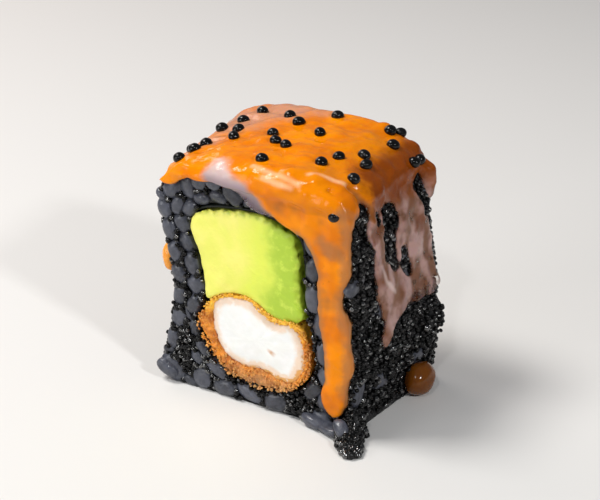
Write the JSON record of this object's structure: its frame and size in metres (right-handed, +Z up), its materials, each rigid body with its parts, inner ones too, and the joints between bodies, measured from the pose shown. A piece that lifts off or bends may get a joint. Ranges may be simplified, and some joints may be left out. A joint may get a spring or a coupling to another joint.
{
  "type": "uramaki roll",
  "caption": "Upright piece of uramaki with black rice coated in roe round nori, avocado and tempura prawn, under a thick orange sauce with roe beads.",
  "frame": {"origin": "on the flat base, under the middle of the roll at half its length", "axes": "-Y out of the front cut face, +X towards the side with the long sheet of sauce, +Z up"},
  "size_m": [0.0437, 0.0333, 0.0447],
  "materials": {
    "rice": "black cooked rice, moist, with glossy black roe",
    "nori": "dark seaweed sheet, slightly moist",
    "avocado": "soft avocado flesh, pale yellow to green, satin",
    "tempura_prawn": "white prawn flesh in a rough golden fried crumb crust",
    "sauce": "thick glossy orange sauce"
  },
  "bodies": {
    "root": {"rice": "rice", "nori": "nori", "avocado": "avocado", "tempura_prawn": "tempura_prawn", "sauce": "sauce"}
  },
  "joints": []
}
